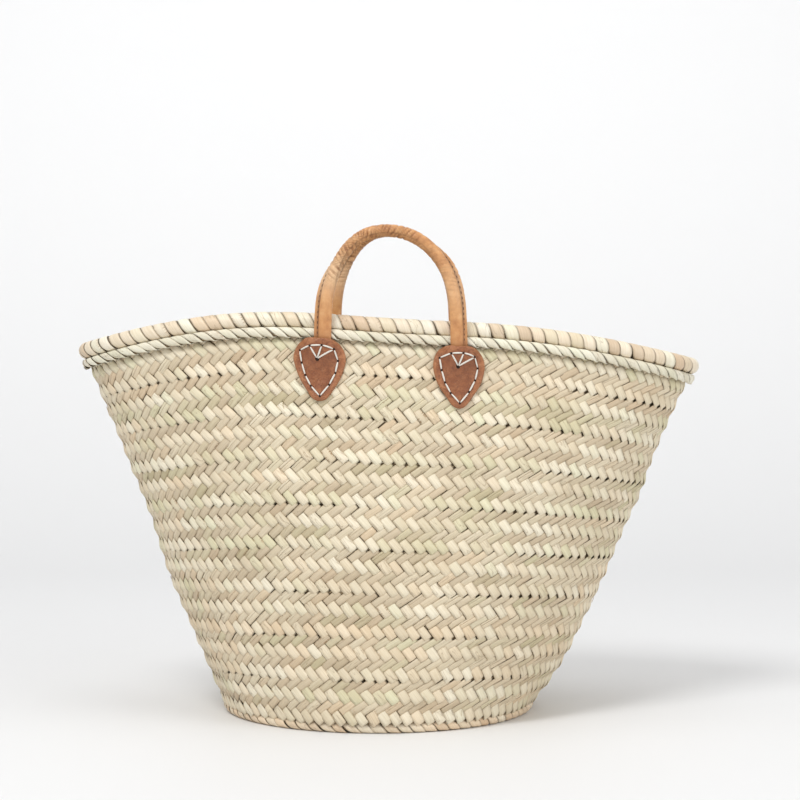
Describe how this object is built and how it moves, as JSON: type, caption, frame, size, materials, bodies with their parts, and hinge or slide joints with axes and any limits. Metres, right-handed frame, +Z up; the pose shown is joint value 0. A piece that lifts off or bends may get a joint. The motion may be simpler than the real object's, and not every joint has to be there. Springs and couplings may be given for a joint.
{
  "type": "woven market basket",
  "caption": "Tall palm-leaf shopping basket with a round base, a flared oval mouth, a wrapped rim roll and short leather-covered handles on stitched leather patches.",
  "frame": {"origin": "on the ground, under the middle of the basket's bounding box", "axes": "+Z up, +X along the mouth's long axis, towards the lower end of the rim; the basket's front is -Y"},
  "size_m": [0.5397, 0.2742, 0.4242],
  "materials": {
    "palm_leaf": "satin dry leaf, cream to pale green",
    "wrapping_leaf": "satin flat leaf, warm cream",
    "green_leaf": "satin leaf, ivory with a green cast",
    "palm_fibre": "rough fibre",
    "tan_leather": "waxed tan leather, creased",
    "patch_leather": "red-brown leather, scuffed",
    "white_thread": "waxed cotton thread",
    "brown_thread": "waxed dark thread"
  },
  "bodies": {
    "basket": {"base_course_1": "palm_leaf", "base_lacing_1": "palm_fibre", "base_course_2": "palm_leaf", "base_lacing_2": "palm_fibre", "base_course_3": "palm_leaf", "base_lacing_3": "palm_fibre", "base_course_4": "palm_leaf", "foot_ring": "wrapping_leaf", "wall_course_1": "palm_leaf", "wall_lacing_1": "palm_fibre", "wall_course_2": "palm_leaf", "wall_lacing_2": "palm_fibre", "wall_course_3": "palm_leaf", "wall_lacing_3": "palm_fibre", "wall_course_4": "palm_leaf", "wall_lacing_4": "palm_fibre", "wall_course_5": "palm_leaf", "wall_lacing_5": "palm_fibre", "wall_course_6": "palm_leaf", "wall_lacing_6": "palm_fibre", "wall_course_7": "palm_leaf", "wall_lacing_7": "palm_fibre", "wall_course_8": "palm_leaf", "wall_lacing_8": "palm_fibre", "wall_course_9": "palm_leaf", "rim_core": "palm_fibre", "rim_wrap": "wrapping_leaf", "rim_cord": "green_leaf", "front_left_strap_end": "tan_leather", "front_left_patch": "patch_leather", "front_left_stitching": "white_thread", "front_right_strap_end": "tan_leather", "front_right_patch": "patch_leather", "front_right_stitching": "white_thread", "rear_left_strap_end": "tan_leather", "rear_left_patch": "patch_leather", "rear_left_stitching": "white_thread", "rear_right_strap_end": "tan_leather", "rear_right_patch": "patch_leather", "rear_right_stitching": "white_thread"},
    "front_handle": {"front_handle_cover": "tan_leather", "front_handle_rope": "palm_fibre", "front_handle_seam_thread": "brown_thread"},
    "rear_handle": {"rear_handle_cover": "tan_leather", "rear_handle_rope": "palm_fibre", "rear_handle_seam_thread": "brown_thread"}
  },
  "joints": [
    {"name": "front_handle_fold", "type": "hinge", "parent": "basket", "child": "front_handle", "pos_m": [0.002, -0.10587, 0.352], "axis": [1, 0, 0], "range_deg": [-75, 110]},
    {"name": "rear_handle_fold", "type": "hinge", "parent": "basket", "child": "rear_handle", "pos_m": [0.005, 0.10609, 0.352], "axis": [-1, 0, 0], "range_deg": [-75, 110]}
  ]
}
